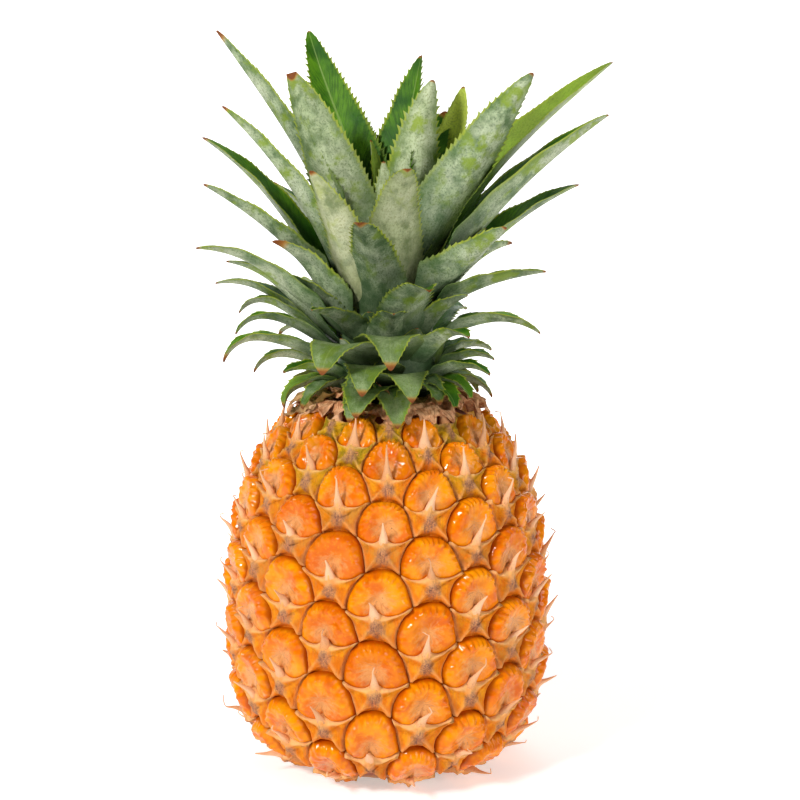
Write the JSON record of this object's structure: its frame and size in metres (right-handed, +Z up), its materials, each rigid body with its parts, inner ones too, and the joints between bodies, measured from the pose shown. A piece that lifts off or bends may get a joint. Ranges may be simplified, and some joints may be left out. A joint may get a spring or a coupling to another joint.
{
  "type": "pineapple",
  "caption": "Small ripe pineapple standing on its base, with raised orange eyes, thorn-tipped bracts and a leafy crown of toothed leaves.",
  "frame": {"origin": "middle of the cut stalk's flat end, on the surface that the fruit stands on", "axes": "+Z up along the fruit's core to the crown, -Y towards the pictured front, +X to its right"},
  "size_m": [0.128, 0.1071, 0.229],
  "materials": {
    "ripe_rind": "waxy ripe rind, orange domes with paler fleshy bracts",
    "leaf_green": "grey-green leaf with pale bloom and lime toothed margins",
    "dry_scale": "dry brown papery scale",
    "cut_stalk": "pale fibrous cut stalk"
  },
  "bodies": {
    "root": {"fruit": "ripe_rind", "crown": "leaf_green", "dry_scales": "dry_scale", "stalk_end": "cut_stalk"}
  },
  "joints": []
}
